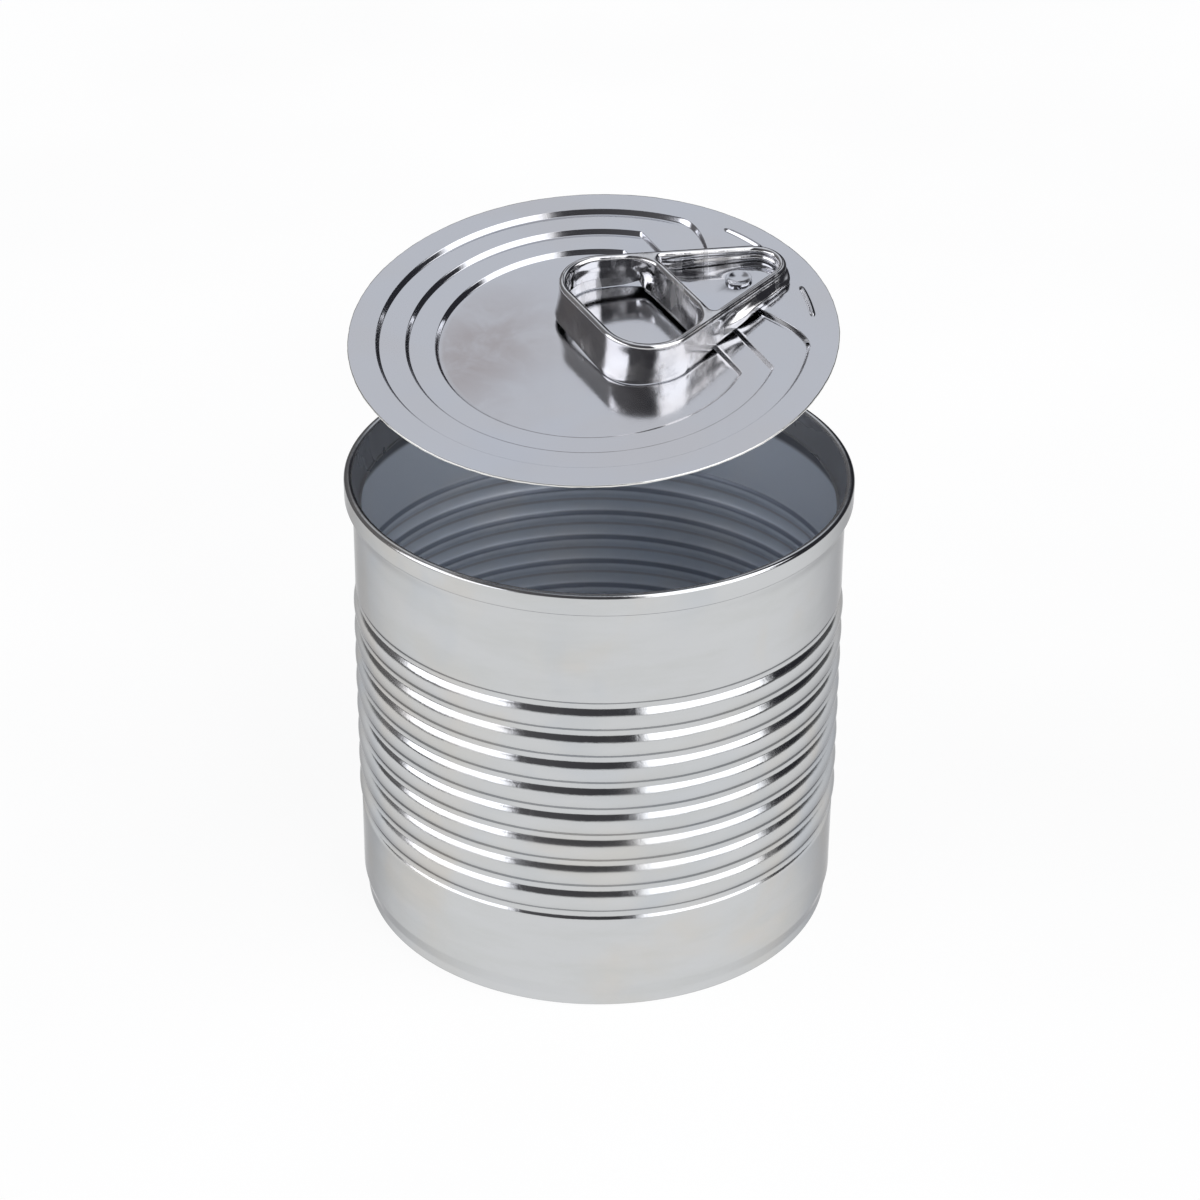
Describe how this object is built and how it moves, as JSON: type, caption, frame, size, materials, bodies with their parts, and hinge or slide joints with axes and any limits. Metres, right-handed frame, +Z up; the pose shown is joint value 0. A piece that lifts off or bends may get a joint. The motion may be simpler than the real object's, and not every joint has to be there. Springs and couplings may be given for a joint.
{
  "type": "ring-pull tin can",
  "caption": "Short ribbed tinplate can, opened: seamed rim, empty beaded body and a torn-out lid with a raised finger-ring pull tab.",
  "frame": {"origin": "on the can's axis at the plane its base ring stands on", "axes": "+Z up along the can's axis, -Y towards the front, +X to the right; the tab's nose points between +X and +Y"},
  "size_m": [0.0754, 0.0777, 0.103],
  "materials": {
    "tinplate_body": "bright tinplate, lightly brushed",
    "tinplate_end": "bright tinplate",
    "tinplate_lid": "satin tinplate",
    "bright_tab": "polished, scuffed",
    "compound": "matt sealing compound"
  },
  "bodies": {
    "can": {"can_body": "tinplate_body", "end_ring": "tinplate_end", "seam_compound": "compound"},
    "lid": {"lid_panel": "tinplate_lid", "rivet": "tinplate_lid", "tab_tongue": "tinplate_lid"},
    "tab": {"pull_tab": "bright_tab"}
  },
  "joints": [
    {"name": "lid_swing", "type": "hinge", "parent": "can", "child": "lid", "pos_m": [-0.02905, -0.15826, 0.0514], "axis": [0.9836, -0.1805, 0], "range_deg": [-10.66, 5]},
    {"name": "tab_lift", "type": "hinge", "parent": "lid", "child": "tab", "pos_m": [0.0263, 0.00902, 0.10023], "axis": [-0.5024, 0.8531, 0.1409], "range_deg": [0, 90]}
  ]
}
